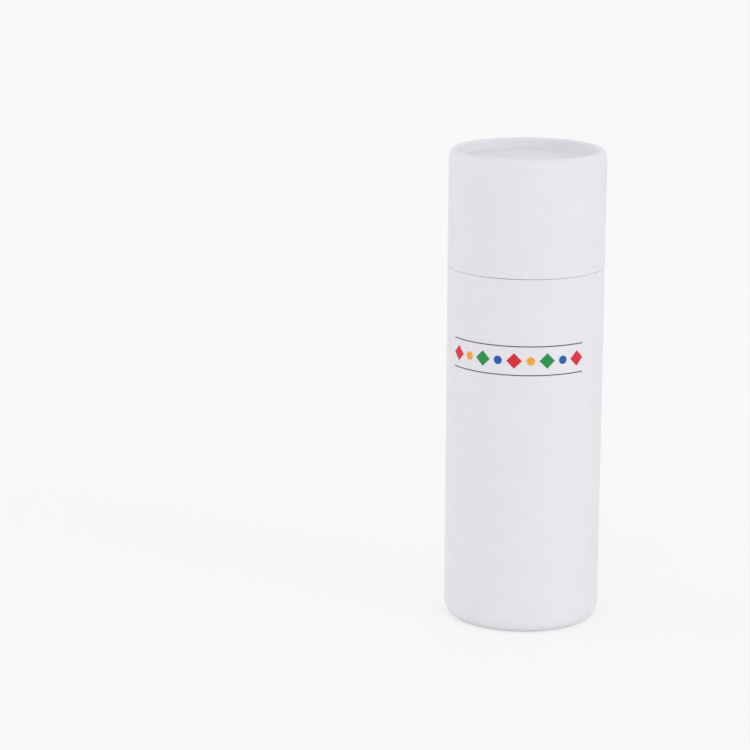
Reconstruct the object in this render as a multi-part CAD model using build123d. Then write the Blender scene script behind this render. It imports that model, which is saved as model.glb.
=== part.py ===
from build123d import *
import os
from math import cos, degrees, radians, sin

# Rolled-edge paper tube gift box, standing closed.
# A board tube in printed paper, its lower edge rolled under round a card disc, holds an inner
# tube whose rolled mouth stands proud as the neck. A tall lid of the same tube, its upper edge
# rolled over a second disc, slides down the neck and stops on the body's cut rim.
# Millimetres, +Z up. The origin is the centre of the ring that the box stands on.

# Overall sizes
tube_diameter = 50.0  # outside of the printed paper, the same on the body and the lid
body_height = 115.1  # table to the body's cut rim
lid_height = 37.2  # the lid's cut rim to its crown
seam_gap = 0.2  # hairline left between the two cut rims
lid_headroom = 8.3  # air between the neck's mouth and the lid's disc

# Board and paper
board_wall = 1.05  # outer tube's board, body and lid
wrap_thickness = 0.16  # printed paper
glue_film = 0.03  # between paper and board
lap_width = 8.0  # where the paper's end is glued over its start, at the back
neck_wall = 1.5  # inner tube's board
disc_thickness = 1.5  # card discs

# Fits, all radial
neck_clearance = 0.15  # inner tube in the outer one: glued in the body, sliding in the lid
disc_clearance = 0.1  # disc in its tube

# Rolled crown of the lid: the wall turned in and pressed almost flat on itself
crown_shoulder_radius = 4.5  # where the wall starts to lean in
crown_shoulder_turn = 35.0  # degrees
crown_radius = 1.2
crown_land = 0.2  # flat left on top of the roll
crown_inner_radius = 0.7
crown_eye_depth = 2.8  # where the hollow inside the roll starts to close
crown_crease_depth = 2.2  # the crease that it closes to, a full wall under the skin
crown_hem = 3.3  # how deep the turned-in edge reaches, down to the disc

# Rolled foot of the body: the same roll left rounder and more open
foot_shoulder_radius = 4.6
foot_shoulder_turn = 45.0  # degrees
foot_radius = 3.2
foot_land = 0.6  # flat that the box stands on
foot_inner_radius = 0.9
foot_eye_depth = 3.9
foot_crease_depth = 1.6
foot_hem = 5.2
foot_paper_turn = 62.0  # degrees round the roll at which the paper is trimmed off

# Rolled mouth of the inner tube
mouth_shoulder_radius = 2.0
mouth_shoulder_turn = 30.0  # degrees
mouth_radius = 1.2
mouth_land = 0.2
mouth_inner_radius = 2.1
mouth_eye_depth = 2.3
mouth_crease_depth = 1.6
mouth_hem = 4.8

# What follows from them
outer_radius = tube_diameter / 2
skin = wrap_thickness + glue_film
outer_bore = outer_radius - skin - board_wall
neck_radius = outer_bore - neck_clearance
disc_radius = outer_bore - disc_clearance
lap_angle = degrees(lap_width / outer_radius)
base_disc_bottom = foot_hem - skin
neck_bottom = base_disc_bottom + disc_thickness
neck_projection = lid_height + seam_gap - crown_hem - disc_thickness - lid_headroom
neck_top = body_height + neck_projection
total_height = body_height + seam_gap + lid_height
lid_disc_bottom = total_height - crown_hem - disc_thickness


class Roll:
    """A tube's end turned inwards and back on itself, in section.

    x is the radius and y the height: the top of the roll is at y = 0, and the wall runs down
    from it. Each line round the roll lies a given depth under its outer skin.
    """

    def __init__(self, tube_radius, shoulder_radius, shoulder_turn, top_radius, land, inner_radius, hem):
        lean = radians(shoulder_turn)
        self.shoulder_turn = shoulder_turn
        self.shoulder_radius = shoulder_radius
        self.top_radius = top_radius
        self.inner_radius = inner_radius
        self.hem = hem
        self.tube_radius = tube_radius
        self.shoulder_y = -top_radius - (shoulder_radius - top_radius) * sin(lean)
        self.shoulder_x = tube_radius - shoulder_radius
        self.top_x = self.shoulder_x + (shoulder_radius - top_radius) * cos(lean)
        self.turn_x = self.top_x - land
        self.hem_x = self.turn_x - inner_radius

    def over_shoulder(self, length, depth, top_turn):
        """From the wall's far end up over the shoulder, to an angle round the top of the roll."""
        wall_x = self.tube_radius - depth
        return [
            Line((wall_x, -length), (wall_x, self.shoulder_y)),
            CenterArc((self.shoulder_x, self.shoulder_y), self.shoulder_radius - depth,
                      0, self.shoulder_turn),
            CenterArc((self.top_x, -self.top_radius), self.top_radius - depth,
                      self.shoulder_turn, top_turn - self.shoulder_turn),
        ]

    def all_round(self, length, depth):
        """From the wall's far end over the roll to the cut edge of the turned-in hem."""
        hem_x = self.hem_x + depth
        return self.over_shoulder(length, depth, 90) + [
            Line((self.top_x, -depth), (self.turn_x, -depth)),
            CenterArc((self.turn_x, -self.inner_radius), self.inner_radius - depth, 90, 90),
            Line((hem_x, -self.inner_radius), (hem_x, -self.hem)),
        ]

    def board(self, length, cover, wall, eye_depth, crease_depth):
        """Section of the board, hollow inside the roll up to the crease where it folds."""
        wall_x = self.tube_radius - cover
        bore_x = wall_x - wall
        hem_x = self.hem_x + cover
        eye_x = hem_x + wall
        crease = ((eye_x + bore_x) / 2, -crease_depth)
        return make_face(self.all_round(length, cover) + [
            Line((hem_x, -self.hem), (eye_x, -self.hem)),
            Line((eye_x, -self.hem), (eye_x, -eye_depth)),
            Line((eye_x, -eye_depth), crease),
            Line(crease, (bore_x, -eye_depth)),
            Line((bore_x, -eye_depth), (bore_x, -length)),
            Line((bore_x, -length), (wall_x, -length)),
        ])

    def paper(self, length, outer_depth, inner_depth):
        """Section of the paper that is rolled in with the board."""
        outer = self.all_round(length, outer_depth)
        inner = self.all_round(length, inner_depth)
        far_end = Line(outer[0] @ 0, inner[0] @ 0)
        hem_end = Line(outer[-1] @ 1, inner[-1] @ 1)
        return make_face(outer + inner + [far_end, hem_end])

    def trimmed_paper(self, length, outer_depth, inner_depth, top_turn):
        """Section of the paper that is cut off square part of the way round the roll."""
        outer = self.over_shoulder(length, outer_depth, top_turn)
        inner = self.over_shoulder(length, inner_depth, top_turn)
        far_end = Line(outer[0] @ 0, inner[0] @ 0)
        trimmed_end = Line(outer[-1] @ 1, inner[-1] @ 1)
        return make_face(outer + inner + [far_end, trimmed_end])


def turned(section, height):
    """A section turned once round, with the top of its roll at the given height."""
    return Pos(0, 0, height) * revolve(Plane.XZ * section, Axis.Z)


def lapped(sheet, lap, height):
    """A sheet wrapped once round, with its end lapped over its start at the back."""
    strip = revolve(Plane.XZ * lap, Axis.Z, lap_angle)
    return turned(sheet, height) + Pos(0, 0, height) * Rot(0, 0, 90 - lap_angle / 2) * strip


def on_its_head(solid):
    """The solid upside down, so that its roll is at the bottom."""
    return mirror(solid, Plane.XY)


def card_disc(bottom):
    """A card disc that fits the outer tube's bore."""
    return Pos(0, 0, bottom) * extrude(Circle(disc_radius), disc_thickness)


# The foot's skin would lie this far under the table, if its paper weren't trimmed off
foot_drop = skin
body_length = body_height + foot_drop
neck_length = neck_top - neck_bottom

crown = Roll(outer_radius, crown_shoulder_radius, crown_shoulder_turn, crown_radius,
             crown_land, crown_inner_radius, crown_hem)
foot = Roll(outer_radius, foot_shoulder_radius, foot_shoulder_turn, foot_radius,
            foot_land, foot_inner_radius, foot_hem)
mouth = Roll(neck_radius, mouth_shoulder_radius, mouth_shoulder_turn, mouth_radius,
             mouth_land, mouth_inner_radius, mouth_hem)

# Body: rolled board, its paper, the disc in the foot and the inner tube standing on the disc
body_tube = on_its_head(turned(
    foot.board(body_length, skin, board_wall, foot_eye_depth, foot_crease_depth), foot_drop))
body_wrap = on_its_head(lapped(
    foot.trimmed_paper(body_length, 0, wrap_thickness, foot_paper_turn),
    foot.trimmed_paper(body_length, -wrap_thickness, 0, foot_paper_turn), foot_drop))
base_disc = card_disc(base_disc_bottom)
neck_tube = turned(
    mouth.board(neck_length, 0, neck_wall, mouth_eye_depth, mouth_crease_depth), neck_top)

# Lid: rolled board, its paper rolled in with it, and the disc under the crown
lid_tube = turned(
    crown.board(lid_height, skin, board_wall, crown_eye_depth, crown_crease_depth), total_height)
lid_wrap = lapped(crown.paper(lid_height, 0, wrap_thickness),
                  crown.paper(lid_height, -wrap_thickness, 0), total_height)
lid_disc = card_disc(lid_disc_bottom)

parts = {
    "body_tube": body_tube,
    "body_wrap": body_wrap,
    "base_disc": base_disc,
    "neck_tube": neck_tube,
    "lid_tube": lid_tube,
    "lid_wrap": lid_wrap,
    "lid_disc": lid_disc,
}

os.makedirs("parts", exist_ok=True)
for name, solid in parts.items():
    export_step(solid, f"parts/{name}.step")
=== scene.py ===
import math

import bmesh
import bpy
from mathutils import Matrix, Vector, noise


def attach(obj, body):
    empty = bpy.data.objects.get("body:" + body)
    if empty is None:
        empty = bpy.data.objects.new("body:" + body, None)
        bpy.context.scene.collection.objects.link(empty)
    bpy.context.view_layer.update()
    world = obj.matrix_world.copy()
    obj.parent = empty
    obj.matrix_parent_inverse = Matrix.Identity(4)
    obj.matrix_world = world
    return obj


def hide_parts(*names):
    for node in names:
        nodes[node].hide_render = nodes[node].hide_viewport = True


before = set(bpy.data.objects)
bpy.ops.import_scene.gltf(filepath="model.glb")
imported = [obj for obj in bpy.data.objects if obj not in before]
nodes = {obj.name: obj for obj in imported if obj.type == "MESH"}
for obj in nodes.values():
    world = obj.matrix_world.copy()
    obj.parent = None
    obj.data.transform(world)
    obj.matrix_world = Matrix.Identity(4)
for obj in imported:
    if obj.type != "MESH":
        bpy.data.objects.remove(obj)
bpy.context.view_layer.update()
mm = 0.001  # the pieces' dictionaries are in millimetres and degrees
print("frame loaded:", ", ".join(sorted(nodes)))


# Camera, at the photograph's angle: metres and radians, and millimetres for its lens
shot = {"place": (0.0, -0.876375, 0.285575), "yaw": -0.0547, "down": 0.2320, "roll": 0.0042,
        "lens": 134.43, "sensor": 36.0, "clipStart": 0.01, "clipEnd": 100.0}


def setCamera():
    yaw, down, roll = shot["yaw"], shot["down"], shot["roll"]
    ahead = Vector((math.sin(yaw) * math.cos(down), math.cos(yaw) * math.cos(down), -math.sin(down)))
    right = Vector((math.cos(yaw), -math.sin(yaw), 0.0))
    up = right.cross(ahead)
    tiltedRight = right * math.cos(roll) + up * math.sin(roll)
    tiltedUp = up * math.cos(roll) - right * math.sin(roll)
    lensData = bpy.data.cameras.new("boxCamera")
    lensData.lens = shot["lens"]
    lensData.sensor_width = shot["sensor"]
    lensData.clip_start = shot["clipStart"]
    lensData.clip_end = shot["clipEnd"]
    camera = bpy.data.objects.new("boxCamera", lensData)
    turn = Matrix((tiltedRight, tiltedUp, -ahead)).transposed().to_4x4()
    camera.matrix_world = Matrix.Translation(shot["place"]) @ turn
    bpy.context.scene.collection.objects.link(camera)
    bpy.context.scene.camera = camera


setCamera()
bpy.context.scene.view_settings.view_transform = "Standard"
print("camera set")


# Node helpers that the finishes share
def startFinish(name, roughness):
    material = bpy.data.materials.new(name)
    material.use_nodes = True
    tree = material.node_tree
    shader = tree.nodes["Principled BSDF"]
    shader.inputs["Roughness"].default_value = roughness
    place = tree.nodes.new("ShaderNodeTexCoord")
    return material, tree, shader, place.outputs["Object"]


def calc(tree, operation, first, second=None):
    node = tree.nodes.new("ShaderNodeMath")
    node.operation = operation
    for socket, value in zip(node.inputs, (first, second)):
        if value is None:
            continue
        if isinstance(value, (int, float)):
            socket.default_value = value
        else:
            tree.links.new(value, socket)
    return node.outputs[0]


def grain(tree, place, scale, stretch=(1, 1, 1), detail=3.0, rough=0.55):
    mapping = tree.nodes.new("ShaderNodeMapping")
    mapping.inputs["Scale"].default_value = stretch
    tree.links.new(place, mapping.inputs["Vector"])
    texture = tree.nodes.new("ShaderNodeTexNoise")
    texture.inputs["Scale"].default_value = scale
    texture.inputs["Detail"].default_value = detail
    texture.inputs["Roughness"].default_value = rough
    tree.links.new(mapping.outputs["Vector"], texture.inputs["Vector"])
    return texture.outputs["Fac"]


def spread(tree, value, low, high, toLow=0.0, toHigh=1.0):
    # Grain mostly lies between 0.3 and 0.7, so such a range gives it its full strength
    node = tree.nodes.new("ShaderNodeMapRange")
    node.inputs["From Min"].default_value = low
    node.inputs["From Max"].default_value = high
    node.inputs["To Min"].default_value = toLow
    node.inputs["To Max"].default_value = toHigh
    tree.links.new(value, node.inputs["Value"])
    return node.outputs["Result"]


def roughBy(tree, texture, look):
    # Roughness that follows a grain, a little under and over the finish's own
    low = look["roughness"] - look["smoother"]
    return spread(tree, texture, 0.3, 0.7, low, look["roughness"] + look["rougher"])


def blendColours(tree, amount, first, second):
    node = tree.nodes.new("ShaderNodeMix")
    node.data_type = "RGBA"
    tree.links.new(amount, node.inputs["Factor"])
    for socket, colour in zip((node.inputs[6], node.inputs[7]), (first, second)):
        if isinstance(colour, tuple):
            socket.default_value = colour + (1.0,)
        else:
            tree.links.new(colour, socket)
    return node.outputs[2]


def raiseSurface(tree, shader, heights):
    # Each height is a value and how many millimetres it stands for, finest last
    below = None
    for value, distance in heights:
        bump = tree.nodes.new("ShaderNodeBump")
        bump.inputs["Distance"].default_value = distance * mm
        tree.links.new(value, bump.inputs["Height"])
        if below:
            tree.links.new(below, bump.inputs["Normal"])
        below = bump.outputs["Normal"]
    tree.links.new(below, shader.inputs["Normal"])


def splitUp(tree, vector):
    node = tree.nodes.new("ShaderNodeSeparateXYZ")
    tree.links.new(vector, node.inputs[0])
    return node.outputs


def radiusFrom(tree, across, deep):
    # Distance from the tube's axis
    squares = calc(tree, "ADD", calc(tree, "MULTIPLY", across, across),
                   calc(tree, "MULTIPLY", deep, deep))
    return calc(tree, "SQRT", squares)


# White coated paper of the body and the lid, scuffed at the two cut rims, where they meet
paperLook = {"colour": (0.808, 0.794, 0.834), "shade": (0.793, 0.778, 0.818),
             "worn": (0.83, 0.80, 0.77), "roughness": 0.46, "smoother": 0.05, "rougher": 0.06,
             "gloss": 0.30, "fibre": 2600.0, "fibreShow": 0.12, "mottle": 150.0, "bump": 0.005,
             "rimLow": 115.1, "rimHigh": 115.3, "scuff": 900.0, "scuffNear": 0.15,
             "scuffFar": 0.75, "scuffShow": 0.5, "scuffRough": 0.3}


def coatedPaper():
    look = paperLook
    material, tree, shader, place = startFinish("whitePaper", look["roughness"])
    shader.inputs["Specular IOR Level"].default_value = look["gloss"]
    mottle = grain(tree, place, look["mottle"], detail=2.0)
    fibre = grain(tree, place, look["fibre"], stretch=(1, 1, 0.35), detail=4.0)
    cloudy = blendColours(tree, spread(tree, mottle, 0.35, 0.7), look["colour"], look["shade"])
    faint = spread(tree, fibre, 0.3, 0.8, 0.0, look["fibreShow"])
    soft = blendColours(tree, faint, cloudy, look["shade"])
    middle = (look["rimLow"] + look["rimHigh"]) / 2 * mm
    fromRim = calc(tree, "ABSOLUTE", calc(tree, "SUBTRACT", splitUp(tree, place)[2], middle))
    nearRim = spread(tree, fromRim, look["scuffNear"] * mm, look["scuffFar"] * mm, 1.0, 0.0)
    patchy = spread(tree, grain(tree, place, look["scuff"]), 0.5, 0.62)
    worn = calc(tree, "MULTIPLY", calc(tree, "MULTIPLY", nearRim, patchy), look["scuffShow"])
    tree.links.new(blendColours(tree, worn, soft, look["worn"]), shader.inputs["Base Color"])
    scuffed = calc(tree, "MULTIPLY", worn, look["scuffRough"])
    rough = calc(tree, "ADD", roughBy(tree, mottle, look), scuffed)
    tree.links.new(rough, shader.inputs["Roughness"])
    raiseSurface(tree, shader, [(mottle, look["bump"]), (fibre, look["bump"])])
    return material


# Cream board that the outer tubes are wound from, with its plies on the cut rims
boardLook = {"colour": (0.80, 0.735, 0.65), "ply": (0.56, 0.47, 0.38),
             "pale": (0.86, 0.81, 0.74), "roughness": 0.82, "smoother": 0.08, "rougher": 0.10,
             "fibre": 1500.0, "cloud": 220.0, "plyStep": 0.35, "plyWander": 0.08, "plyShow": 0.6,
             "cloudBump": 0.03, "plyBump": -0.03, "fibreBump": 0.02}


def woundBoard():
    look = boardLook
    material, tree, shader, place = startFinish("tubeBoard", look["roughness"])
    across, deep = splitUp(tree, place)[:2]
    radius = radiusFrom(tree, across, deep)
    fibre = grain(tree, place, look["fibre"], stretch=(1, 1, 0.5), detail=4.0)
    cloud = grain(tree, place, look["cloud"], detail=2.0)
    base = blendColours(tree, spread(tree, fibre, 0.35, 0.7), look["colour"], look["pale"])
    # Only faces that look straight up or down are cut rims
    facing = tree.nodes.new("ShaderNodeNewGeometry").outputs["Normal"]
    onRim = spread(tree, calc(tree, "ABSOLUTE", splitUp(tree, facing)[2]), 0.9, 0.97)
    swing = spread(tree, cloud, 0.0, 1.0, -0.5, 0.5)
    wander = calc(tree, "MULTIPLY", swing, look["plyWander"] * mm)
    plies = calc(tree, "DIVIDE", calc(tree, "ADD", radius, wander), look["plyStep"] * mm)
    between = calc(tree, "ABSOLUTE", calc(tree, "SUBTRACT", calc(tree, "FRACT", plies), 0.5))
    line = calc(tree, "MULTIPLY", spread(tree, between, 0.34, 0.48), onRim)
    tone = blendColours(tree, calc(tree, "MULTIPLY", line, look["plyShow"]), base, look["ply"])
    tree.links.new(tone, shader.inputs["Base Color"])
    tree.links.new(roughBy(tree, fibre, look), shader.inputs["Roughness"])
    raiseSurface(tree, shader, [(cloud, look["cloudBump"]), (line, look["plyBump"]),
                                (fibre, look["fibreBump"])])
    return material


# Ivory board of the inner tube, flecked, with the edge of its helical winding, and painted shade
# inside its bore
neckLook = {"colour": (0.835, 0.797, 0.758), "warm": (0.800, 0.755, 0.705),
            # the bore's tan is partly the inner ply's own colour and partly painted shade and bounce
            # light
            "inside": (0.85, 0.70, 0.47), "fleck": (0.50, 0.40, 0.28),
            "roughness": 0.62, "smoother": 0.06, "rougher": 0.16,
            "fibre": 1800.0, "fibreShow": 0.12, "cloud": 120.0, "cloudShow": 0.45,
            "boreFrom": 22.9, "boreFull": 22.4, "mouth": 138.8, "hem": 135.6,
            "dots": 330.0, "dotFull": 0.05, "dotEnd": 0.09, "patches": 420.0, "fleckShow": 0.6,
            "windingRise": 92.0, "windingStart": 0.37, "seamWide": 0.0035, "seamShow": 0.24,
            "stepEnd": 0.503, "cloudBump": 0.012, "stepBump": 0.04, "seamBump": -0.03,
            "fibreBump": 0.010}


def ivoryBoard():
    look = neckLook
    material, tree, shader, place = startFinish("ivoryBoard", look["roughness"])
    across, deep, height = splitUp(tree, place)
    radius = radiusFrom(tree, across, deep)
    turn = calc(tree, "ARCTAN2", deep, across)
    fibre = grain(tree, place, look["fibre"], stretch=(1, 1, 0.5), detail=4.0)
    cloud = grain(tree, place, look["cloud"], detail=2.0)
    warmer = spread(tree, cloud, 0.35, 0.75, 0.0, look["cloudShow"])
    base = blendColours(tree, warmer, look["colour"], look["warm"])
    # Painted shade: from the rolled mouth down, the bore is tinted a warmer, darker tan. This stands
    # partly for the inner ply's own tan and partly for the shade and bounce light in the hollow
    inShadedBore = spread(tree, radius, look["boreFrom"] * mm, look["boreFull"] * mm)
    underMouth = spread(tree, height, look["mouth"] * mm, look["hem"] * mm)
    boreShaded = blendColours(tree, calc(tree, "MULTIPLY", inShadedBore, underMouth), base, look["inside"])
    faint = spread(tree, fibre, 0.35, 0.75, 0.0, look["fibreShow"])
    paler = blendColours(tree, faint, boreShaded, look["warm"])
    dots = tree.nodes.new("ShaderNodeTexVoronoi")
    dots.inputs["Scale"].default_value = look["dots"]
    tree.links.new(place, dots.inputs["Vector"])
    small = spread(tree, dots.outputs["Distance"], look["dotFull"], look["dotEnd"], 1.0, 0.0)
    few = spread(tree, grain(tree, place, look["patches"]), 0.56, 0.6)
    fleck = calc(tree, "MULTIPLY", small, few)
    # The winding counts up once a turn; its edge lies where it passes a half
    climb = calc(tree, "DIVIDE", height, look["windingRise"] * mm)
    climb = calc(tree, "ADD", climb, look["windingStart"])
    winding = calc(tree, "FRACT", calc(tree, "ADD", climb, calc(tree, "DIVIDE", turn, 2 * math.pi)))
    fromSeam = calc(tree, "ABSOLUTE", calc(tree, "SUBTRACT", winding, 0.5))
    seam = spread(tree, fromSeam, 0.0, look["seamWide"], 1.0, 0.0)
    step = spread(tree, winding, 0.5, look["stepEnd"])
    marked = calc(tree, "MAXIMUM", calc(tree, "MULTIPLY", seam, look["seamShow"]),
                  calc(tree, "MULTIPLY", fleck, look["fleckShow"]))
    tree.links.new(blendColours(tree, marked, paler, look["fleck"]), shader.inputs["Base Color"])
    tree.links.new(roughBy(tree, fibre, look), shader.inputs["Roughness"])
    raiseSurface(tree, shader, [(cloud, look["cloudBump"]), (step, look["stepBump"]),
                                (seam, look["seamBump"]), (fibre, look["fibreBump"])])
    return material


# White-faced card of the two discs
cardLook = {"colour": (0.775, 0.763, 0.818), "shade": (0.752, 0.740, 0.795),
            "roughness": 0.6, "smoother": 0.06, "rougher": 0.08, "cloud": 170.0,
            "fibre": 1900.0, "fibreShow": 0.2, "cloudBump": 0.006, "fibreBump": 0.008}


def facedCard():
    look = cardLook
    material, tree, shader, place = startFinish("discCard", look["roughness"])
    cloud = grain(tree, place, look["cloud"], detail=2.0)
    fibre = grain(tree, place, look["fibre"], stretch=(1, 0.4, 1), detail=4.0)
    tone = blendColours(tree, spread(tree, cloud, 0.35, 0.7), look["colour"], look["shade"])
    faint = spread(tree, fibre, 0.35, 0.8, 0.0, look["fibreShow"])
    speckled = blendColours(tree, faint, tone, look["shade"])
    tree.links.new(speckled, shader.inputs["Base Color"])
    tree.links.new(roughBy(tree, fibre, look), shader.inputs["Roughness"])
    raiseSurface(tree, shader, [(cloud, look["cloudBump"]), (fibre, look["fibreBump"])])
    return material


whitePaper = coatedPaper()
tubeBoard = woundBoard()
innerBoard = ivoryBoard()
discCard = facedCard()
for nodeName, finish in {"body_tube": tubeBoard, "lid_tube": tubeBoard, "neck_tube": innerBoard,
                         "base_disc": discCard, "lid_disc": discCard,
                         "body_wrap": whitePaper, "lid_wrap": whitePaper}.items():
    for holder in nodes[nodeName].material_slots:
        holder.material = finish
print("finishes made")


# The printed paper of the body and the lid: one sheet each, rolled round and lapped at the back.
# The lid's is rolled in with its board to a hem, and the body's is trimmed part of the way round
sheets = {
    "lidPaper": {"radius": 24.97, "rim": 115.3, "end": 152.5, "shoulder": 4.5, "lean": 35.0,
                 "roll": 1.2, "land": 0.2, "inner": 0.7, "hem": 3.3,
                 "pleats": 58, "pleatDepth": 0.05},
    "bodyPaper": {"radius": 24.97, "rim": 115.1, "end": -0.19, "shoulder": 4.6, "lean": 45.0,
                  "roll": 3.2, "trimAt": 62.0, "pleats": 46, "pleatDepth": 0.05},
}
paper = {"thick": 0.15, "lap": 8.0, "lapRise": 0.158, "lapRamp": 0.4, "lapPressed": 0.5,
         "pressedOver": 2.5, "toe": 0.6, "toeTurn": 60.0, "tuck": 0.1,
         "pleatsOver": 3.0, "pleatAlong": 0.12, "wave": 0.008, "waveRound": 1.5, "waveAlong": 0.03,
         "proud": 0.056, "uneven": 0.015, "gape": 0.75, "gapeAt": -101.0, "gapeWide": 28.0,
         "steps": 288, "wallRows": 24, "shoulderRows": 8, "trimRows": 6, "rollRows": 10,
         "hemRows": 4, "toeRows": 5}


def arcOn(sheet, tip, centre, degrees, steps):
    spun = bmesh.ops.spin(sheet, geom=[tip], cent=centre, axis=(0, 1, 0),
                          angle=math.radians(degrees), steps=steps)
    return [part for part in spun["geom_last"] if isinstance(part, bmesh.types.BMVert)][0]


def lineOn(sheet, tip, move, rows=1):
    for row in range(rows):
        grown = bmesh.ops.extrude_vert_indiv(sheet, verts=[tip])
        tip = grown["verts"][0]
        tip.co += Vector(move) / rows
    return tip


def rolledSheet(shape):
    # The section is drawn with the roll at the top, z = 0, and put in its place at the end
    turn = -1.0  # a spin about +Y by a negative angle leans inwards and up
    lean = math.radians(shape["lean"])
    over = shape["shoulder"] - shape["roll"]
    shoulderZ = -shape["roll"] - over * math.sin(lean)
    shoulderX = shape["radius"] - shape["shoulder"]
    rollAt = (shoulderX + over * math.cos(lean), 0, -shape["roll"])
    tall = abs(shape["end"] - shape["rim"])
    sheet = bmesh.new()
    tip = sheet.verts.new((shape["radius"], 0, -tall))
    tip = lineOn(sheet, tip, (0, 0, tall + shoulderZ), paper["wallRows"])
    tip = arcOn(sheet, tip, (shoulderX, 0, shoulderZ), turn * shape["lean"], paper["shoulderRows"])
    if "trimAt" in shape:
        left = shape["trimAt"] - shape["lean"]
        tip = arcOn(sheet, tip, rollAt, turn * left, paper["trimRows"])
    else:
        tip = arcOn(sheet, tip, rollAt, turn * (90 - shape["lean"]), paper["rollRows"])
        tip = lineOn(sheet, tip, (-shape["land"], 0, 0))
        innerAt = (rollAt[0] - shape["land"], 0, -shape["inner"])
        tip = arcOn(sheet, tip, innerAt, turn * 90, paper["rollRows"])
        # The hem's last bit is pressed out flat along the disc, so the corner isn't a sharp one,
        # and its cut edge is tucked into the disc's face
        toe = paper["toe"]
        down = shape["inner"] + toe - shape["hem"] - paper["tuck"]
        tip = lineOn(sheet, tip, (0, 0, down), paper["hemRows"])
        toeAt = (tip.co.x - toe, 0, tip.co.z)
        tip = arcOn(sheet, tip, toeAt, -turn * paper["toeTurn"], paper["toeRows"])
    lapTurn = paper["lap"] / shape["radius"]
    start = math.pi / 2 - lapTurn / 2
    bmesh.ops.rotate(sheet, verts=sheet.verts, cent=(0, 0, 0), matrix=Matrix.Rotation(start, 3, "Z"))
    bmesh.ops.spin(sheet, geom=list(sheet.verts) + list(sheet.edges), cent=(0, 0, 0),
                   axis=(0, 0, 1), angle=2 * math.pi + lapTurn, steps=paper["steps"])
    return sheet, lapTurn


def faceOutwards(sheet):
    bmesh.ops.recalc_face_normals(sheet, faces=sheet.faces)
    wall = max(sheet.faces, key=lambda face: face.calc_area())
    middle = wall.calc_center_median()
    if wall.normal.dot(Vector((middle.x, middle.y, 0))) < 0:
        bmesh.ops.reverse_faces(sheet, faces=sheet.faces)
    sheet.normal_update()


def pleatRoll(sheet, shape):
    # Small pleats gather where the paper turns inwards, and the wall is very slightly uneven
    edgeRow = 0.01 - abs(shape["end"] - shape["rim"])  # only the cut edge's own points lie lower
    wide, along = paper["waveRound"], paper["waveAlong"]
    for vert in sheet.verts:
        around = math.atan2(vert.co.y, vert.co.x)
        gathered = 1.0 - min(1.0, max(0.0, -vert.co.z / paper["pleatsOver"]))
        # A noise cell is about one unit, so a circle with a radius of n / 6 has about n ripples
        ripple = noise.noise(Vector((math.cos(around), math.sin(around), 0.0))
                             * shape["pleats"] / 6.0
                             + Vector((0, 0, vert.co.z * paper["pleatAlong"])))
        slow = noise.noise(Vector((math.cos(around) * wide, math.sin(around) * wide,
                                   vert.co.z * along)))
        sink = (0.5 + 0.5 * ripple) * shape["pleatDepth"] * gathered
        vert.co -= vert.normal * (sink + paper["wave"] * (1 + slow))
        if vert.co.z < edgeRow:
            # The cut edge stands a hair proud of the board, least where the seam gapes,
            # at the front left
            away = (around - math.radians(paper["gapeAt"])) / math.radians(paper["gapeWide"])
            stand = 1.0 - paper["gape"] * math.exp(-away * away)
            vert.co.z -= paper["proud"] * stand + paper["uneven"] * slow


def layOver(sheet, lapTurn):
    # The sheet's last turn lies on its first. Its columns are in the order that they were spun
    perColumn = len(sheet.verts) // (paper["steps"] + 1)
    flat = paper["lapPressed"]
    sheet.verts.ensure_lookup_table()
    for index, vert in enumerate(sheet.verts):
        spun = index // perColumn / paper["steps"] * (2 * math.pi + lapTurn)
        left = 2 * math.pi + lapTurn - spun
        rise = 1.0 - min(1.0, max(0.0, (left - lapTurn) / (lapTurn * paper["lapRamp"])))
        # Rolling presses the lap flatter where the paper turns inwards
        pressed = flat + (1 - flat) * min(1.0, max(0.0, -vert.co.z / paper["pressedOver"]))
        vert.co += vert.normal * paper["lapRise"] * rise * pressed


def makeSheet(name, shape):
    sheet, lapTurn = rolledSheet(shape)
    faceOutwards(sheet)
    layOver(sheet, lapTurn)
    pleatRoll(sheet, shape)
    if shape["end"] < shape["rim"]:
        bmesh.ops.scale(sheet, vec=(1, 1, -1), verts=sheet.verts)  # the body's roll is at its foot
    bmesh.ops.translate(sheet, vec=(0, 0, shape["end"]), verts=sheet.verts)
    bmesh.ops.scale(sheet, vec=(mm, mm, mm), verts=sheet.verts)
    faceOutwards(sheet)
    for face in sheet.faces:
        face.smooth = True
    for edge in sheet.edges:
        edge.smooth = not edge.is_boundary  # the paper's cut edges stay crisp
    mesh = bpy.data.meshes.new(name)
    sheet.to_mesh(mesh)
    sheet.free()
    mesh.materials.append(whitePaper)
    piece = bpy.data.objects.new(name, mesh)
    bpy.context.scene.collection.objects.link(piece)
    wallThick = piece.modifiers.new("paperThickness", "SOLIDIFY")
    wallThick.thickness = paper["thick"] * mm
    wallThick.offset = -1.0
    return piece


lidPaper = makeSheet("lidPaper", sheets["lidPaper"])
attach(lidPaper, "lid")
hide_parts("lid_wrap")
bodyPaper = makeSheet("bodyPaper", sheets["bodyPaper"])
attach(bodyPaper, "tube")
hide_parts("body_wrap")
print("papers wrapped")


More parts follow.
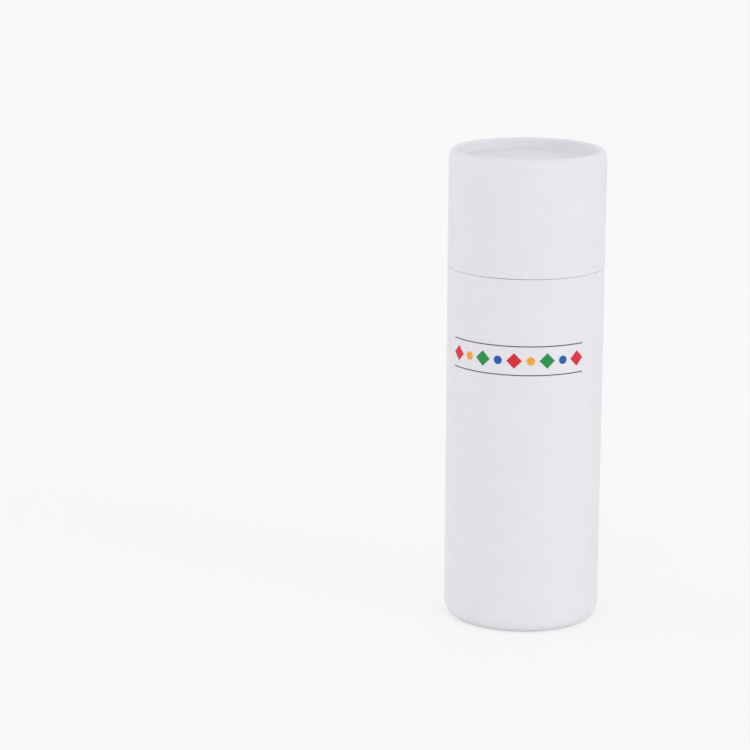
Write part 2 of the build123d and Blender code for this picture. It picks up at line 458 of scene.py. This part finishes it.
# A plain printed border of diamonds and dots round the front, between two thin rules
border = {"middle": -7.5, "height": 89.3, "span": 42.0, "motifs": 9, "diamond": 2.5,
          "dot": 1.35, "ruleGap": 4.6, "ruleThick": 0.34, "top": 24.995, "foot": 24.93,
          "diamondCuts": 8, "dotSides": 40, "dotRings": (0.3, 0.3, 0.3), "ruleCuts": 96,
          "inks": {"crimsonInk": (0.66, 0.012, 0.030), "amberInk": (0.86, 0.37, 0.035),
                   "greenInk": (0.008, 0.27, 0.060), "blueInk": (0.006, 0.095, 0.42),
                   "greyInk": (0.09, 0.09, 0.10)}}
inkLook = {"roughness": 0.4, "smoother": 0.04, "rougher": 0.08, "gloss": 0.3,
           "uneven": 2200.0, "paleTimes": 1.08, "paleMore": 0.006, "bump": 0.004}


def printInk(name, colour):
    look = inkLook
    material, tree, shader, place = startFinish(name, look["roughness"])
    uneven = grain(tree, place, look["uneven"], detail=3.0)
    shader.inputs["Specular IOR Level"].default_value = look["gloss"]
    lighter = tuple(min(1.0, part * look["paleTimes"] + look["paleMore"]) for part in colour)
    tone = blendColours(tree, spread(tree, uneven, 0.3, 0.8), colour, lighter)
    tree.links.new(tone, shader.inputs["Base Color"])
    tree.links.new(roughBy(tree, uneven, look), shader.inputs["Roughness"])
    raiseSurface(tree, shader, [(uneven, look["bump"])])
    return material


def inkNew(sheet, already, slotIndex):
    for face in sheet.faces:
        if face not in already:
            face.material_index = slotIndex


def makeBorder():
    look = border
    sheet = bmesh.new()
    gap = look["span"] / (look["motifs"] - 1)
    diagonal = 1.41421  # of a square with a side of 1
    for count in range(look["motifs"]):
        already = set(sheet.faces)
        at = Matrix.Translation((-look["span"] / 2 + gap * count, 0, 0))
        if count % 2 == 0:
            bmesh.ops.create_grid(sheet, x_segments=look["diamondCuts"],
                                  y_segments=look["diamondCuts"], size=look["diamond"] / diagonal,
                                  matrix=at @ Matrix.Rotation(math.pi / 4, 4, "Z"))
        else:
            bmesh.ops.create_circle(sheet, cap_ends=True, segments=look["dotSides"],
                                    radius=look["dot"], matrix=at)
            disc = [face for face in sheet.faces if face not in already]
            for ring in look["dotRings"]:
                bmesh.ops.inset_region(sheet, faces=disc, thickness=ring)
        inkNew(sheet, already, count % 4)
    for side in (-1, 1):
        already = set(sheet.faces)
        size = Matrix.Diagonal((look["span"] + 2 * look["diamond"], look["ruleThick"], 1, 1))
        bmesh.ops.create_grid(sheet, x_segments=look["ruleCuts"], y_segments=1, size=0.5,
                              matrix=Matrix.Translation((0, side * look["ruleGap"], 0)) @ size)
        inkNew(sheet, already, 4)
    # The flat print gets its thickness, then bends round the tube
    faces = list(sheet.faces)
    bmesh.ops.recalc_face_normals(sheet, faces=faces)
    for face in faces:
        if face.normal.z < 0:
            face.normal_flip()
    bmesh.ops.solidify(sheet, geom=faces, thickness=look["top"] - look["foot"])
    lowest = min(vert.co.z for vert in sheet.verts)
    for vert in sheet.verts:
        radius = look["foot"] + vert.co.z - lowest
        angle = math.radians(look["middle"]) + vert.co.x / look["top"]
        vert.co = Vector((radius * math.sin(angle), -radius * math.cos(angle),
                          look["height"] + vert.co.y)) * mm
    bmesh.ops.recalc_face_normals(sheet, faces=sheet.faces)
    mesh = bpy.data.meshes.new("printedBorder")
    sheet.to_mesh(mesh)
    sheet.free()
    for ink, colour in look["inks"].items():
        mesh.materials.append(printInk(ink, colour))
    piece = bpy.data.objects.new("printedBorder", mesh)
    bpy.context.scene.collection.objects.link(piece)
    return piece


printedBorder = makeBorder()
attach(printedBorder, "tube")
print("border printed")


# Floor and light, the floor's side in metres
studio = {"seen": 0.939, "floorSide": 14.0, "floorColour": 0.95, "floorSeen": 0.38,
          "floorGlow": 0.600, "worldLevel": 0.79,
          "softboxes": {"rightSoftbox": {"power": 0.53, "around": 57.0, "up": 12.0, "spread": 30.0},
                        "leftSoftbox": {"power": 0.39, "around": -92.0, "up": 12.0, "spread": 40.0},
                        "frontSoftbox": {"power": 0.30, "around": -10.0, "up": 18.0, "spread": 80.0},
                        "backSoftbox": {"power": 0.16, "around": 178.0, "up": 18.0, "spread": 80.0}}}


def seenDirectly(tree):
    path = tree.nodes.new("ShaderNodeLightPath")
    either = calc(tree, "MAXIMUM", path.outputs["Is Camera Ray"], path.outputs["Is Glossy Ray"])
    return calc(tree, "MAXIMUM", either, path.outputs["Is Transmission Ray"])


def makeFloor():
    sheet = bmesh.new()
    bmesh.ops.create_grid(sheet, x_segments=1, y_segments=1, size=studio["floorSide"] / 2)
    mesh = bpy.data.meshes.new("floor")
    sheet.to_mesh(mesh)
    sheet.free()
    floor = bpy.data.objects.new("floor", mesh)
    bpy.context.scene.collection.objects.link(floor)
    material = bpy.data.materials.new("studioFloor")
    material.use_nodes = True
    tree = material.node_tree
    tree.nodes.remove(tree.nodes["Principled BSDF"])
    matt = tree.nodes.new("ShaderNodeBsdfDiffuse")
    seen = seenDirectly(tree)
    shade = spread(tree, seen, 0, 1, studio["floorColour"], studio["floorSeen"])
    tree.links.new(shade, matt.inputs["Color"])
    glow = tree.nodes.new("ShaderNodeEmission")
    tree.links.new(calc(tree, "MULTIPLY", seen, studio["floorGlow"]), glow.inputs["Strength"])
    both = tree.nodes.new("ShaderNodeAddShader")
    tree.links.new(matt.outputs[0], both.inputs[0])
    tree.links.new(glow.outputs[0], both.inputs[1])
    tree.links.new(both.outputs[0], tree.nodes["Material Output"].inputs["Surface"])
    mesh.materials.append(material)


def makeLight():
    world = bpy.data.worlds.new("studioWorld")
    bpy.context.scene.world = world
    world.use_nodes = True
    tree = world.node_tree
    sky = tree.nodes["Background"]
    sky.inputs["Color"].default_value = (1, 1, 1, 1)
    tree.links.new(spread(tree, seenDirectly(tree), 0, 1, studio["worldLevel"], studio["seen"]),
                   sky.inputs["Strength"])
    for name, look in studio["softboxes"].items():
        lamp = bpy.data.lights.new(name, "SUN")
        lamp.energy = look["power"]
        lamp.angle = math.radians(look["spread"])
        softbox = bpy.data.objects.new(name, lamp)
        around, up = math.radians(look["around"]), math.radians(look["up"])
        towards = Vector((math.sin(around) * math.cos(up), -math.cos(around) * math.cos(up),
                          math.sin(up)))
        softbox.rotation_euler = towards.to_track_quat("Z", "Y").to_euler()
        bpy.context.scene.collection.objects.link(softbox)


makeFloor()
makeLight()
print("studio lit")
